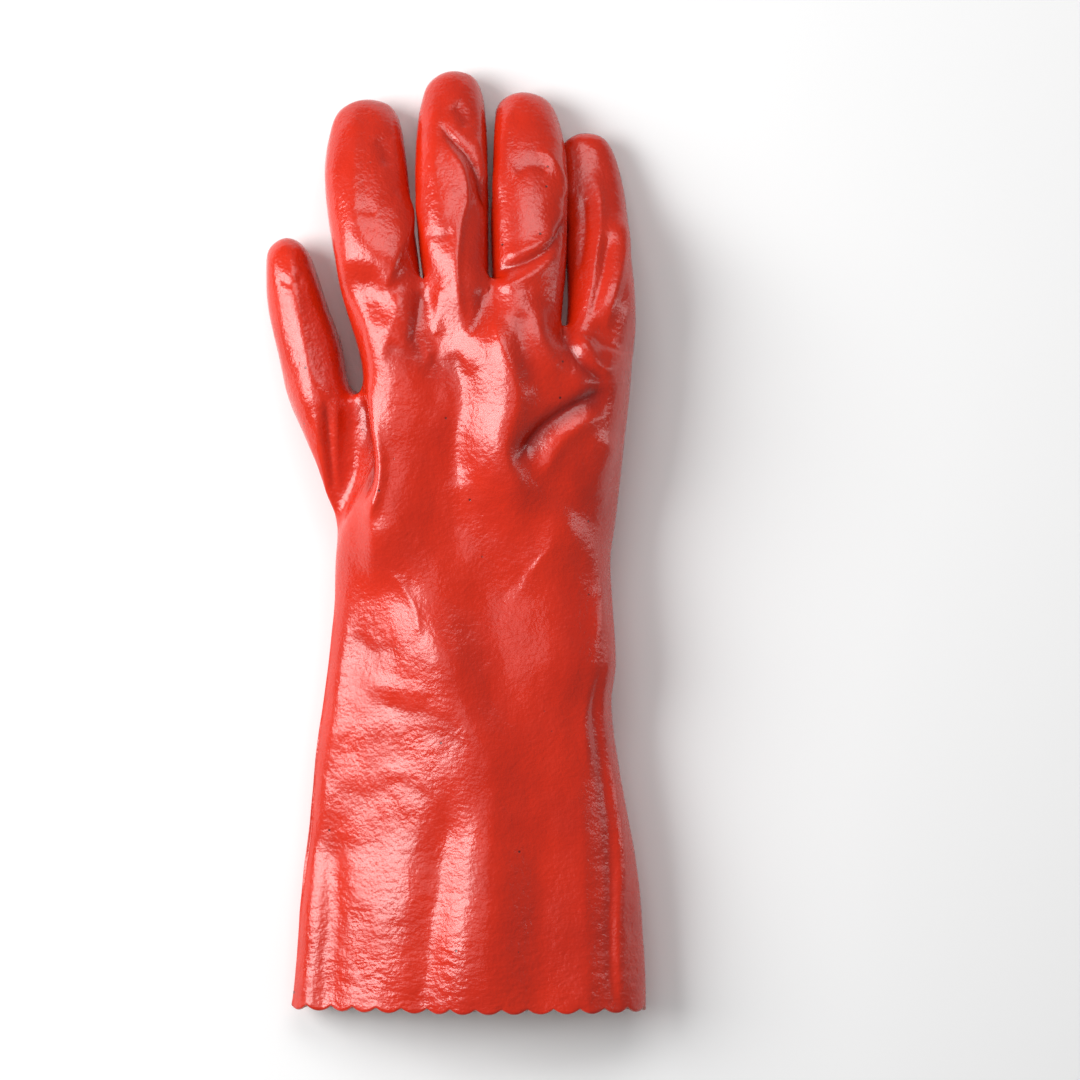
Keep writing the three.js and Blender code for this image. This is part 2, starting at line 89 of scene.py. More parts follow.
fingers = table("name length width height rootWidth shift lean bow", [
    ("index", 83.5, 35.4, 24.5, 0.97, -2.8, 6.7, 1.5),
    ("middle", 95, 31.3, 25, 0.9, -0.3, 1.7, 1.4),
    ("ring", 94.5, 32.2, 24, 0.96, 0.8, 1.8, -1.4),
    ("little", 88.5, 28, 21.5, 1.04, 2.7, 6.6, -2.5),
])
gapShares = [0.045, 0.283, 0.507, 0.757, 0.955]
gapBack = [0.05, 0, -0.005, 0.145, 0.21]
palmGapBack = [0.06, 0.06, 0.085, 0.16, 0.22]
gapPlanes = [dict(lean=-0.106, reach=75), dict(lean=0.03, reach=85), dict(lean=0.045, reach=20)]

cuffSections = table("along flare shift top low leftEdge rightEdge", [
    (-0.012, 1.0, -0.007, 1.0, -0.11, 0.26, 0.46),
    (0.14, 0.91, -0.002, 0.99, -0.11, 0.26, 0.46),
    (0.29, 0.79, -0.001, 0.98, -0.11, 0.27, 0.46),
    (0.43, 0.61, -0.005, 0.98, -0.11, 0.28, 0.46),
    (0.57, 0.42, -0.01, 0.99, -0.11, 0.3, 0.47),
    (0.715, 0.21, -0.013, 1.02, -0.11, 0.33, 0.48),
    (0.86, 0.08, -0.007, 1.04, -0.11, 0.36, 0.5),
])
handSections = table("along left right top low leftEdge rightEdge knuckle", [
    (0.0, -0.469, 0.47, 0.745, -0.07, 0.27, 0.36, 0),
    (0.125, -0.465, 0.476, 0.785, -0.05, 0.3, 0.37, 0),
    (0.25, -0.462, 0.493, 0.84, 0, 0.34, 0.39, 0),
    (0.39, -0.4, 0.512, 0.9, 0.06, 0.42, 0.42, 0),
    (0.53, -0.37, 0.53, 0.95, 0.14, 0.47, 0.45, 0),
    (0.675, -0.374, 0.542, 0.985, 0.19, 0.51, 0.46, 0.015),
    (0.83, -0.4, 0.55, 0.99, 0.22, 0.54, 0.44, 0.055),
    (1.0, -0.444, 0.556, 0.94, 0.3, 0.57, 0.42, 0.16),
])
fingerSections = table("along width rooted height fall sway", [
    (0.16, 1.0, 1, 1.2, 0.04, 0.12),
    (0.36, 0.99, 0.3, 1.08, 0.17, 0.38),
    (0.56, 1.0, 0, 1.0, 0.39, 0.62),
    (0.77, 0.94, 0, 0.92, 0.71, 0.86),
    (0.925, 0.72, 0, 0.7, 0.98, 0.98),
])
thumbSections = table("along out rise turn width height", [
    (0.2, 0.145, 0.29, 40, 0.98, 1.12),
    (0.42, 0.192, 0.265, 20, 1.0, 1.06),
    (0.63, 0.236, 0.25, 14, 0.93, 0.98),
    (0.8, 0.266, 0.235, 10, 0.8, 0.86),
    (0.93, 0.283, 0.215, 6, 0.57, 0.62),
])
thumbTip = dict(along=1.0, out=0.288, rise=0.2)
thumbRows = (9, 12)

# Folds of the soft skin. through: the way in plan, x and y in mm from the glove's middle. left, right: how
# wide it falls off on the left and right hand of someone who walks that way, mm. height: mm, a hollow below 0.
# sharp: 1 a crease, 2 a soft swell. kind: "up" moves the skin straight up or down, not square to itself, and
# "palm" is on the underside.
folds = table("through left right height sharp kind", [
    # back of the hand
    ([(-41, 112), (-37, 88), (-35, 55), (-34, 18), (-33, -24)], 22, 6, 5.6, 2.1, "up"),
    ([(-3, 110), (0, 84), (-1, 50), (-2, 18), (-5, -20)], 13, 22, -4.4, 2, "up"),
    ([(9, 100), (20, 82), (26, 60), (21, 39), (26, 23), (42, 13)], 7, 14, 4.8, 1.8),
    ([(28, 12), (46, 4), (57, -14), (61, -45), (60, -74)], 9, 25, 3.6, 1.9),
    ([(12, 34), (14, 0), (15, -48), (12, -90)], 14, 14, -2.2, 2),
    ([(0, 80), (4, 62), (0, 40), (3, 20)], 7, 6, -1.5, 1.9),
    ([(68, 65), (47, 54), (34, 44), (25, 31)], 5.5, 3.4, -3.4, 1.5),
    ([(64, 55), (45, 42), (36, 24)], 4, 5, 1.5, 1.8),
    ([(44, 92), (52, 76), (66, 65)], 2.4, 3.2, -1.9, 1.4),
    ([(54, 88), (60, 74), (68, 70)], 3, 3, 0.9, 1.8),
    ([(36, 102), (37, 84), (47, 68)], 3.5, 5, 0.9, 1.8),
    ([(28, 100), (28, 80), (33, 62)], 5, 4, -1.1, 1.8),
    ([(-14, 108), (-15, 98), (-19, 80)], 3.5, 3, -1.6, 1.6),
    ([(-24, 106), (-25, 94), (-31, 84)], 4, 4, 1.1, 1.7),
    ([(-6, 108), (-7, 96), (-8, 84)], 3.5, 3.5, 1.1, 1.7),
    ([(12, 108), (11, 96), (6, 86)], 3, 3, -1.1, 1.6),
    ([(-30, 82), (-21, 79), (-12, 82)], 3.5, 6, -1.0, 1.8),
    ([(-12, 77), (-4, 74), (4, 78)], 4, 6, -0.8, 1.8),
    # edge of the hand over the thumb's root
    ([(-37, 70), (-33, 48), (-31, 30), (-34, 14), (-41, 6)], 2.4, 5, 2.4, 1.5),
    ([(-41, 66), (-38, 48), (-36, 30), (-39, 14)], 3.4, 2.2, -3.0, 1.4),
    # thumb
    ([(-71, 126), (-67, 100), (-63, 78), (-59, 60)], 3, 4, 0.9, 1.7),
    ([(-60, 56), (-55, 28), (-54, 6)], 2.2, 2.4, 1.3, 1.5),
    ([(-55, 62), (-53.5, 40), (-52, 18)], 1.8, 1.8, -1.5, 1.3),
    ([(-50, 62), (-51, 40), (-50, 20)], 2, 2.4, 1.1, 1.5),
    ([(-76, 112), (-70, 109), (-64, 111)], 1.6, 2.2, -0.5, 1.5),
    # index finger
    ([(-43, 190), (-43, 165), (-42, 143), (-39, 122)], 3.4, 5, 0.7, 1.8),
    ([(-34, 172), (-30, 166), (-28, 158)], 4, 4, -0.9, 1.9),
    ([(-43, 140), (-38, 138.6), (-33, 140)], 2.2, 3.4, -0.25, 1.7),
    ([(-42, 133), (-37, 131.4), (-32, 132)], 2.2, 3.4, -0.2, 1.7),
    ([(-18, 150), (-20, 134), (-25, 118), (-31, 100)], 3, 8, 2.2, 1.7),
    ([(-45, 116), (-38, 110), (-30, 112)], 5, 6, -0.25, 1.9),
    # middle finger
    ([(-8, 191), (-9, 168), (-9, 146)], 3, 4, 0.6, 1.8),
    ([(-8, 178), (-1, 170), (6, 162), (10, 153), (13, 137)], 1.5, 2.4, -1.9, 1.2),
    ([(-8, 173), (-2, 165), (3, 157), (5, 145), (2, 130), (1, 111), (4, 86)], 2, 3.4, 1.3, 1.6),
    ([(-1, 186), (3, 181), (6, 175)], 3.5, 3.5, -1.0, 1.9),
    ([(8, 172), (11, 162), (13, 150)], 2.4, 2.4, 0.9, 1.6),
    ([(-13, 131), (-7, 128.5), (0, 130)], 1.6, 2.4, -0.5, 1.5),
    # ring finger
    ([(25, 188), (21, 170), (20, 158), (17.5, 141)], 2.6, 4, 0.8, 1.7),
    ([(24, 155), (31, 158.5), (41, 158)], 4, 3, -0.7, 1.7),
    ([(34, 166), (40, 162), (46, 152), (47.5, 143)], 2.6, 2.6, 1.2, 1.6),
    ([(48, 139), (44, 130), (38, 122), (27, 116.5), (15, 113)], 2.6, 1.9, -2.0, 1.3),
    ([(46, 132), (40, 126.5), (30, 121.5), (19, 119)], 3, 3, 1.0, 1.7),
    ([(44, 124), (37, 115), (27, 109), (17, 106)], 3, 3.4, 1.1, 1.7),
    # little finger
    ([(57, 160), (61, 148), (61.5, 134), (59.5, 119), (57, 102), (52, 88)], 2.4, 3, 1.3, 1.5),
    ([(66, 132), (62, 110), (57, 92)], 2.4, 2.4, -1.0, 1.6),
    ([(70, 142), (71, 122), (67, 104), (62, 86)], 3, 7, 2.2, 1.8),
    ([(54, 150), (55, 132), (52, 112)], 2, 2, -0.9, 1.5),
    # wrist and cuff
    ([(-24, 6), (-14, -34), (1, -64), (12, -94), (13, -150), (12, -235)], 15, 21, 4.8, 2),
    ([(-40, 8), (-38, -40), (-43, -80), (-49, -120), (-53, -290)], 30, 15, -7.4, 2, "up"),
    ([(68, 46), (56, 26), (46, 16)], 8, 12, 1.6, 1.9),
    ([(-52, -104), (-38, -108), (-22, -103), (-8, -112)], 3, 6, -0.32, 1.7),
    ([(-58, -128), (-42, -131), (-30, -127)], 3, 6, -0.2, 1.7),
    ([(-30, -12), (-22, -19), (-16, -30), (-14, -44)], 2, 2.6, 0.8, 1.5),
    ([(-44, -40), (-34, -47), (-22, -45)], 3, 5, -0.4, 1.7),
    ([(0, -94), (-4, -130), (-11, -175), (-16, -240)], 8, 9, -3, 1.8),
    ([(-27, -118), (-29, -150), (-33, -190), (-35, -240)], 8, 8, 0.6, 1.9),
    ([(-57, -110), (-54, -150), (-56, -185), (-59, -240)], 8, 7, -2.4, 1.9),
    ([(34, -120), (36, -160), (38, -215)], 8, 8, -0.9, 1.9),
    ([(52, -96), (55, -150), (57, -215)], 5, 5, 0.8, 1.8),
    ([(-37, -68), (-22, -72), (-7, -75), (6, -84)], 2.6, 5, -0.42, 1.6),
    ([(-16, -80), (-5, -83), (7, -87)], 2.6, 4, -0.35, 1.6),
    ([(-40, -60), (-24, -63), (-10, -66)], 4, 4, 0.5, 1.8),
    ([(59, -10), (58, -47), (55, -78), (58, -104)], 3.4, 2.8, 1.2, 1.7),
    ([(64, -20), (61, -68), (67, -106), (70, -132), (69, -175), (72, -215)], 3.6, 2.8, 1.2, 1.7),
    ([(61, -20), (58, -68), (63, -106), (66, -140), (66, -175), (68, -215)], 3, 3, -1, 1.7),
    # palm
    ([(-14, 92), (2, 62), (-8, 40), (-24, 20)], 9, 12, -3.4, 1.9, "palm"),
    ([(52, 74), (30, 42), (16, 10)], 9, 9, -3, 1.9, "palm"),
    ([(-34, 60), (-27, 36), (-24, 12)], 3, 4, 1.6, 1.6, "palm"),
    ([(-24, 104), (4, 97), (30, 92), (60, 84)], 3, 4, -1.4, 1.5, "palm"),
    ([(-46, 150), (-34, 147), (-22, 149)], 1.8, 1.8, -1.2, 1.4, "palm"),
    ([(-16, 152), (-4, 149), (8, 151)], 1.8, 1.8, -1.2, 1.4, "palm"),
    ([(12, 142), (25, 139), (38, 141)], 1.8, 1.8, -1.2, 1.4, "palm"),
    ([(46, 122), (57, 119), (68, 121)], 1.8, 1.8, -1.0, 1.4, "palm"),
])

foldEdges = {
    "ends": 0.22,  # the share of its way over which a fold fades at either end
    "facing": (0.02, 0.4),  # how far the skin has to face up for a fold to begin, and to be whole
    "reach": 3,  # nothing is moved beyond so many widths
    "narrow": 6,  # mm, creases narrower than that get painted shade in the coating's colour
    "paintedShadeDepth": 4,  # mm deep, at which the painted shade would be whole
    # the most painted shade a crease gets, as a share
    "paintedShadeMost": 0.7,
}

# unevenness left by the dip and by packing: size of the swells and how high they stand, mm
swells = [dict(size=36, height=1.3), dict(size=14, height=0.32), dict(size=6, height=0.12)]
swellStretch = 0.7  # swells are longer along the glove than across it

hem = {
    "pitch": 11,  # one tooth of the pinking shears
    "depth": 2.4,
    "fade": 14,  # how far up the cuff the teeth's pull is spread
    "blunt": 0.8,  # below 1 the teeth are blunt and the notches between them sharp
    "pull": 1.5,  # how fast the teeth's pull falls off up the cuff
    "splitWithin": 0.2,  # the faces so near to the hem are all split
    "rings": (0.3, 0.7),  # where the cut edge's rings lie in the wall, as shares of it
    "ringLowest": 0.1,
    "roundness": 0.25,  # how far the cut stands proud in the middle of the wall
}

# between two fingers the liner is set off backwards, or it would come out in the next finger
liner = {"webReach": 16, "webPull": 3}


def lerp(a, b, share):
    return a + (b - a) * share


def smoothStep(low, high, value):
    share = np.clip((value - low) / (high - low), 0, 1)
    return share * share * (3 - 2 * share)


def columnShare(column, shares):
    finger = min(column // 3, len(fingers) - 1)
    return lerp(shares[finger], shares[finger + 1], column / 3 - finger)


def crown(u):
    power, root = glove["crownLeft"] if u < 0 else glove["crownRight"]
    return (1 - abs(u) ** power) ** root


def bodyRing(y, row):
    columns = glove["topColumns"]
    sunk = row["knuckle"] / max(r["knuckle"] for r in handSections)

    def point(share, upper, column):
        edge = lerp(row["leftEdge"], row["rightEdge"], share)
        lie = row["top"] if upper else row["low"]
        atGap = 0.5 + 0.5 * math.cos(2 * math.pi * column / 3) if column % columns else 0
        sink = row["knuckle"] * atGap * (-1 if upper else 1) * glove["handHeight"]
        back = columnShare(column, gapBack if upper else palmGapBack) * sunk * glove["palmLength"]
        z = edge + (lie - edge) * crown(2 * share - 1) + sink
        return (lerp(row["left"], row["right"], share), y - back, max(z, 0))

    ring = [point(0, True, 0)]
    ring += [point(columnShare(i, gapShares), True, i) for i in range(columns + 1)]
    ring.append(point(1, True, columns))
    ring += [point(columnShare(i, gapShares), False, i) for i in range(columns, -1, -1)]
    return ring


def bodyRings():
    rings = []
    for section in cuffSections:
        width = lerp(glove["wristWidth"], glove["hemWidth"], section["flare"])
        middle = section["shift"] * glove["hemWidth"]
        row = {k: section[k] * glove["cuffHeight"] for k in ("top", "low", "leftEdge", "rightEdge")}
        row.update(left=middle - width / 2, right=middle + width / 2, knuckle=0)
        rings.append(bodyRing((section["along"] - 1) * glove["cuffLength"], row))
    first = handSections[0]
    wristScale = glove["wristWidth"] / ((first["right"] - first["left"]) * glove["palmWidth"])
    for section in handSections:
        scale = lerp(wristScale, 1, float(smoothStep(0, glove["wristBlend"], section["along"])))
        row = {k: section[k] * glove["handHeight"] for k in ("top", "low", "leftEdge", "rightEdge")}
        row.update({k: section[k] * glove["palmWidth"] * scale for k in ("left", "right")})
        row["knuckle"] = section["knuckle"]
        rings.append(bodyRing(section["along"] * glove["palmLength"], row))
    return rings


def fingerRing(centre, across, up, width, height, start=math.pi, count=10, squareness=2.35):
    ring = []
    for i in range(count):
        angle = start - 2 * math.pi * i / count
        c, s = math.cos(angle), math.sin(angle)
        reach = (abs(c) ** squareness + abs(s) ** squareness) ** (-1 / squareness)
        ring.append(tuple(centre + across * (c * reach * width / 2) + up * (s * reach * height / 2)))
    return ring


def buildCage():
    points, quads = [], []

    def add(point):
        points.append(tuple(point))
        return len(points) - 1

    def join(before, after):
        count = len(before)
        for i in range(count):
            j = (i + 1) % count
            quads.append((before[i], before[j], after[j], after[i]))

    def cap(ring, tip):
        for i in range(0, len(ring), 2):
            quads.append((ring[i - 1], ring[i], ring[i + 1], tip))

    def middleOf(ring):
        return Vector(np.mean([points[i] for i in ring], axis=0))

    body = [[add(p) for p in ring] for ring in bodyRings()]
    ringSize = len(body[0])
    columns = glove["topColumns"]
    firstRow, lastRow = thumbRows
    for row in range(len(body) - 1):
        for i in range(ringSize):
            if firstRow <= row < lastRow and i >= ringSize - 2:
                continue  # the thumb's root
            j = (i + 1) % ringSize
            quads.append((body[row][i], body[row][j], body[row + 1][j], body[row + 1][i]))

    last = body[-1]
    top = last[1 : columns + 2]
    low = last[: columns + 2 : -1]
    webs = []
    for gap in (1, 2, 3):
        middle = middleOf([top[3 * gap], low[3 * gap]])
        middle.y -= glove["webDepth"] * glove["palmLength"]
        webs.append(add(middle))
    sides = [last[0], *webs, last[columns + 2]]
    for f, finger in enumerate(fingers):
        root = [sides[f], *top[3 * f : 3 * f + 4], sides[f + 1], *low[3 * f : 3 * f + 4][::-1]]
        start = middleOf(root)
        drop = glove["littleDrop"] if finger["name"] == "little" else 0
        rise = glove["fingertipRise"]
        fromX = start.x + finger["shift"]
        tip = Vector((fromX - finger["lean"], start.y + finger["length"], glove["tipRise"] * rise))
        yaw = math.atan(finger["lean"] / finger["length"])
        heading = Vector((-math.sin(yaw), math.cos(yaw), 0))
        across = Vector((math.cos(yaw), math.sin(yaw), 0))
        before = root
        for row in fingerSections:
            centre = Vector((
                lerp(fromX, tip.x, row["sway"]) - finger["bow"] * math.sin(math.pi * row["along"]),
                start.y + finger["length"] * row["along"],
                lerp(start.z, rise, row["fall"]) - drop * math.sin(math.pi * row["fall"]),
            ))
            pitch = math.atan((start.z - rise) / finger["length"] * glove["fingerBend"] * row["along"])
            up = Vector((0, 0, math.cos(pitch))) + heading * math.sin(pitch)
            width = finger["width"] * row["width"] * lerp(1, finger["rootWidth"], row["rooted"])
            height = finger["height"] * row["height"]
            ring = [add(p) for p in fingerRing(centre, across, up, width, height)]
            join(before, ring)
            before = ring
        cap(before, add(tip))

    edge, lowEdge, lowNext = 0, ringSize - 1, ringSize - 2
    root = [body[lastRow][edge], body[lastRow][lowEdge]]
    root += [body[row][lowNext] for row in range(lastRow, firstRow - 1, -1)]
    root.append(body[firstRow][lowEdge])
    root += [body[row][edge] for row in range(firstRow, lastRow)]
    start = middleOf(root)

    def place(row):
        x = start.x - row["out"] * glove["palmWidth"]
        return Vector((x, start.y + row["along"] * glove["thumbLength"], row["rise"] * glove["handHeight"]))

    before = root
    for row in thumbSections:
        turn = math.radians(row["turn"])
        across = Vector((math.cos(turn), math.sin(turn), 0))
        width, height = glove["thumbWidth"] * row["width"], glove["thumbHeight"] * row["height"]
        ring = fingerRing(place(row), across, Vector((0, 0, 1)), width, height, start=2 * math.pi / 10)
        after = [add(p) for p in ring]
        join(before, after)
        before = after
    cap(before, add(place(thumbTip)))
    used, quads = np.unique(np.array(quads), return_inverse=True)  # some lie inside the thumb's root
    return np.array(points)[used], quads.reshape(-1, 4), np.array([points[w] for w in webs])


# one round of smoothing that splits each face in four; old points come first and keep their order
def smoothOnce(points, quads):
    faceMiddle = points[quads].mean(axis=1)
    starts, ends = quads.ravel(), np.roll(quads, -1, axis=1).ravel()
    pairs = np.sort(np.stack([starts, ends], axis=1), axis=1)
    edges, whichEdge, uses = np.unique(pairs, axis=0, return_inverse=True, return_counts=True)
    whichEdge = whichEdge.ravel()
    middles = points[edges].mean(axis=1)
    besideSum = np.zeros_like(middles)
    np.add.at(besideSum, whichEdge, np.repeat(faceMiddle, 4, axis=0))
    inside = (uses == 2)[:, None]
    edgePoints = np.where(inside, (2 * middles + besideSum) / 4, middles)

    faceCount = np.bincount(starts, minlength=len(points))[:, None]
    faceSum = np.zeros_like(points)
    np.add.at(faceSum, starts, np.repeat(faceMiddle, 4, axis=0))
    middleSum = np.zeros_like(points)
    middleCount = np.zeros((len(points), 1))
    rimSum = np.zeros_like(points)
    rimCount = np.zeros((len(points), 1))
    for end in (0, 1):
        np.add.at(middleSum, edges[:, end], middles)
        np.add.at(middleCount, edges[:, end], 1)
        np.add.at(rimSum, edges[:, end], np.where(inside, 0, middles))
        np.add.at(rimCount, edges[:, end], np.where(inside, 0, 1))
    moved = (faceSum / faceCount + 2 * middleSum / middleCount + (faceCount - 3) * points) / faceCount
    moved = np.where(rimCount > 0, 0.5 * points + 0.25 * rimSum, moved)

    edgeIndex = whichEdge.reshape(-1, 4) + len(points)
    faceIndex = np.arange(len(quads))[:, None] + len(points) + len(edges)
    parts = []
    for k in range(4):
        parts.append(np.stack([quads[:, k], edgeIndex[:, k], faceIndex[:, 0], edgeIndex[:, k - 1]], axis=1))
    finer = np.stack(parts, axis=1).reshape(-1, 4)
    return np.concatenate([moved, edgePoints, faceMiddle]), finer


# the cage is pushed out until the skin passes through its own points; gives back the skin's four levels
def smoothSkin(points, quads, rounds=6):
    cage = points.copy()
    for _ in range(rounds):
        skin, _quads = smoothOnce(*smoothOnce(cage, quads))
        cage += points - skin[: len(cage)]
    levels = []
    for _ in range(4):
        cage, quads = smoothOnce(cage, quads)
        levels.append((cage, quads))
    return levels


def normalsOf(points, quads):
    a, b, c, d = (points[quads[:, k]] for k in range(4))
    facing = np.cross(c - a, d - b)
    facing /= np.linalg.norm(facing, axis=1, keepdims=True) + 1e-12
    normals = np.zeros_like(points)
    np.add.at(normals, quads.ravel(), np.repeat(facing, 4, axis=0))
    return normals / (np.linalg.norm(normals, axis=1, keepdims=True) + 1e-12)


# presses the sides of neighbouring fingers apart, to a narrow gap
def partFingers(points, quads, webs):
    normals = normalsOf(points, quads)
    for web, plane in zip(webs, gapPlanes):
        out = points[:, 1] - web[1]
        facing = np.sign(normals[:, 0])
        middle = web[0] + plane["lean"] * out
        limit = middle - facing * np.minimum(glove["gapWidth"] / 2, glove["gapOpening"] * out)
        near = (out > 0) & (out < plane["reach"]) & (np.abs(normals[:, 0]) > 0.1)
        near &= (np.abs(points[:, 0] - middle) < glove["gapReach"]) & ((points[:, 0] - limit) * facing > 0)
        points[near, 0] = limit[near]
    return points


# a smooth way through a fold's points
def wayThrough(corners, steps=10):
    corners = [np.array(c, dtype=float) for c in corners]
    ends = [2 * corners[0] - corners[1], *corners, 2 * corners[-1] - corners[-2]]
    way = []
    for p0, p1, p2, p3 in zip(ends, ends[1:], ends[2:], ends[3:]):
        for t in np.arange(steps) / steps:
            bend = 2 * p0 - 5 * p1 + 4 * p2 - p3
            swing = 3 * p1 - p0 - 3 * p2 + p3
            way.append(0.5 * (2 * p1 + (p2 - p0) * t + bend * t**2 + swing * t**3))
    return np.array([*way, corners[-1]])


# how far a fold lifts each point of the skin, in mm
def foldLift(fold, plan, facing):
    way = wayThrough(fold["through"])
    reach = foldEdges["reach"] * max(fold["left"], fold["right"])
    facingFrom, facingWhole = foldEdges["facing"]
    low, high = way.min(axis=0) - reach, way.max(axis=0) + reach
    near = np.all((plan > low) & (plan < high), axis=1) & (facing > facingFrom)
    lift = np.zeros(len(plan))
    if not near.any():
        return lift
    spots = plan[near]
    best = np.full(len(spots), np.inf)
    side = np.zeros(len(spots))
    share = np.zeros(len(spots))
    steps = np.linalg.norm(np.diff(way, axis=0), axis=1)
    travelled = np.concatenate([[0], np.cumsum(steps)])
    for k, (start, end) in enumerate(zip(way, way[1:])):
        line = end - start
        t = np.clip(((spots - start) @ line) / max(line @ line, 1e-9), 0, 1)
        away = spots - (start + t[:, None] * line)
        distance = np.linalg.norm(away, axis=1)
        nearer = distance < best
        best[nearer] = distance[nearer]
        side[nearer] = (line[0] * away[:, 1] - line[1] * away[:, 0])[nearer]
        share[nearer] = ((travelled[k] + t * steps[k]) / travelled[-1])[nearer]
    width = np.where(side > 0, fold["left"], fold["right"])
    fade = smoothStep(0, foldEdges["ends"], share) * smoothStep(0, foldEdges["ends"], 1 - share)
    profile = np.exp(-((best / width) ** fold["sharp"]))
    lift[near] = fold["height"] * profile * fade * smoothStep(facingFrom, facingWhole, facing[near])
    return lift


def swellLift(points):
    lift = np.zeros(len(points))
    for swell in swells:
        size, start = swell["size"], Vector((7, 3, swell["size"]))
        spots = [Vector((x, swellStretch * y, z)) / size + start for x, y, z in points]
        lift += [swell["height"] * noise.noise(spot) for spot in spots]
    return lift


# the skin's faces: the chosen ones split in four, the others whole, with their neighbours' points along them
def mixedFaces(fineQuads, chosen):
    fine = fineQuads.reshape(-1, 4, 4)
    split = fine[chosen].reshape(-1, 4).tolist()
    onEdge = set(fine[chosen][:, :, 1].ravel().tolist())
    faces = [tuple(q) for q in split]
    for quarter in fine[~chosen].tolist():
        face = []
        for corner, edge, _middle, _edge in quarter:
            face.append(corner)
            if edge in onEdge:
                face.append(edge)
        faces.append(tuple(face))
    return faces


# the open rim's points, in order round the hem
def hemLoop(faces):
    edges = set()
    for face in faces:
        edges.update(zip(face, face[1:] + face[:1]))
    rim = {a: b for a, b in edges if (b, a) not in edges}
    loop = [min(rim)]
    while len(loop) < len(rim):
        loop.append(rim[loop[-1]])
    return loop


# pulls the hem into the teeth that pinking shears leave
def pinkHem(points, loop, hemY):
    rim = points[loop].copy()
    steps = np.linalg.norm(rim - np.roll(rim, 1, axis=0), axis=1)
    travelled = np.cumsum(steps)
    teeth = round(travelled[-1] / hem["pitch"])
    wave = np.abs(np.sin(math.pi * teeth * travelled / travelled[-1])) ** hem["blunt"]
    low = rim[:, 1].min()
    for i in np.where(points[:, 1] < low + hem["fade"])[0]:
        closest = np.argmin((rim[:, 0] - points[i, 0]) ** 2 + (rim[:, 2] - points[i, 2]) ** 2)
        above = (points[i, 1] - low) / hem["fade"]
        cut = hemY - low + hem["depth"] * (1 - wave[closest])
        points[i, 1] += cut * max(1 - above, 0) ** hem["pull"]
    return points


